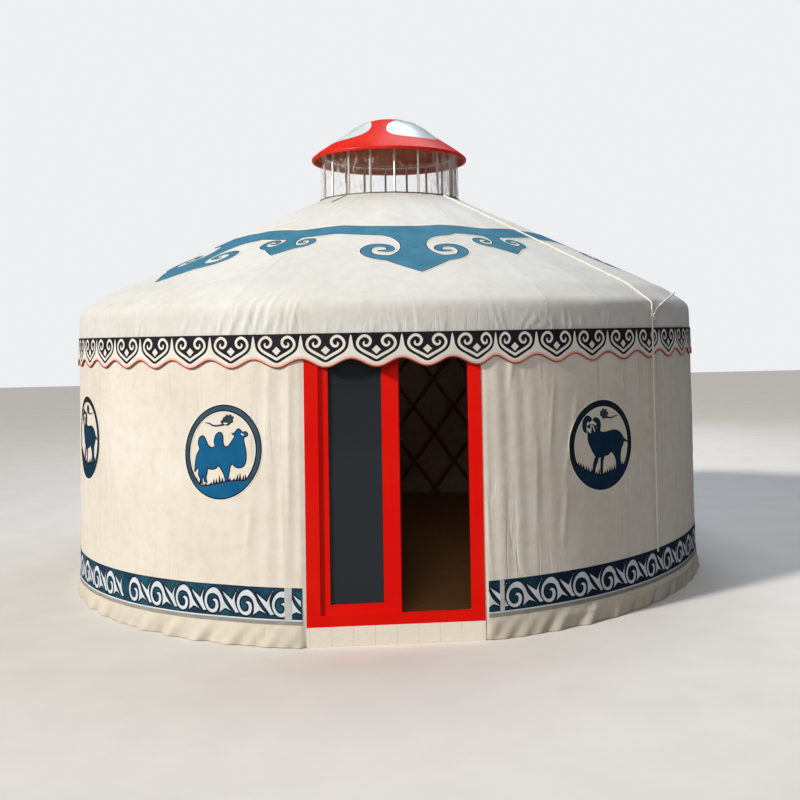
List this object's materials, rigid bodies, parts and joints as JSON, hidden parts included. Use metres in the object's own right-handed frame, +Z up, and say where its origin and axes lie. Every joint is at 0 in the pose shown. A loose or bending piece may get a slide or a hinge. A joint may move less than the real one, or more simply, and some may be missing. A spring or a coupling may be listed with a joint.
{
  "type": "yurt",
  "caption": "Round tent dwelling of timber lattice walls and roof poles under cream canvas, with a scalloped valance, a glazed sliding door and a clear lantern under a red cap.",
  "frame": {"origin": "middle of the round plan, on the ground", "axes": "+Z up, the doorway faces -Y, +X to the right of someone facing the door from outside"},
  "size_m": [4.5138, 4.5149, 3.3519],
  "materials": {
    "canvas": "cream canvas over felt, lightly wrinkled",
    "valance_cloth": "dark printed cloth",
    "frame_timber": "oiled timber",
    "galvanised_steel": "dull galvanised",
    "clear_film": "clear crinkled film",
    "red_plastic": "glossy moulded",
    "milky_plastic": "translucent white",
    "deck_boards": "plain boards",
    "red_paint": "satin red",
    "door_glass": "dark clear glass",
    "cream_boards": "cream paint",
    "rope": "twisted cotton rope"
  },
  "bodies": {
    "yurt": {"wall_cover_1": "canvas", "wall_cover_2": "canvas", "wall_cover_3": "canvas", "wall_cover_4": "canvas", "wall_cover_5": "canvas", "wall_cover_6": "canvas", "wall_cover_7": "canvas", "wall_cover_8": "canvas", "roof_cover_1": "canvas", "roof_cover_2": "canvas", "roof_cover_3": "canvas", "roof_cover_4": "canvas", "roof_cover_5": "canvas", "roof_cover_6": "canvas", "roof_cover_7": "canvas", "valance_1": "valance_cloth", "valance_2": "valance_cloth", "valance_3": "valance_cloth", "lattice_wall_1": "frame_timber", "lattice_wall_2": "frame_timber", "lattice_wall_3": "frame_timber", "lattice_wall_4": "frame_timber", "lattice_wall_5": "frame_timber", "lattice_wall_6": "frame_timber", "lattice_wall_7": "frame_timber", "lattice_wall_8": "frame_timber", "roof_poles_1": "frame_timber", "roof_poles_2": "frame_timber", "roof_poles_3": "frame_timber", "roof_poles_4": "frame_timber", "crown_ring": "frame_timber", "lantern_bars": "galvanised_steel", "lantern_top_ring": "galvanised_steel", "lantern_hoop": "galvanised_steel", "lantern_film": "clear_film", "cap_shell": "red_plastic", "cap_panes": "milky_plastic", "floor_deck": "deck_boards", "floor_frame": "deck_boards", "door_jamb_left": "red_paint", "door_jamb_right": "red_paint", "door_sill": "red_paint", "door_head": "red_paint", "fixed_leaf_frame": "red_paint", "fixed_leaf_glass": "door_glass", "door_lintel": "frame_timber", "door_plinth": "cream_boards", "tie_rope_front": "rope", "tie_rope_back": "rope"},
    "sliding_leaf": {"sliding_leaf_frame": "red_paint", "sliding_leaf_glass": "door_glass"}
  },
  "joints": [
    {"name": "door_slide", "type": "slide", "parent": "yurt", "child": "sliding_leaf", "axis": [1, 0, 0], "range_m": [0, 0.414]}
  ]
}
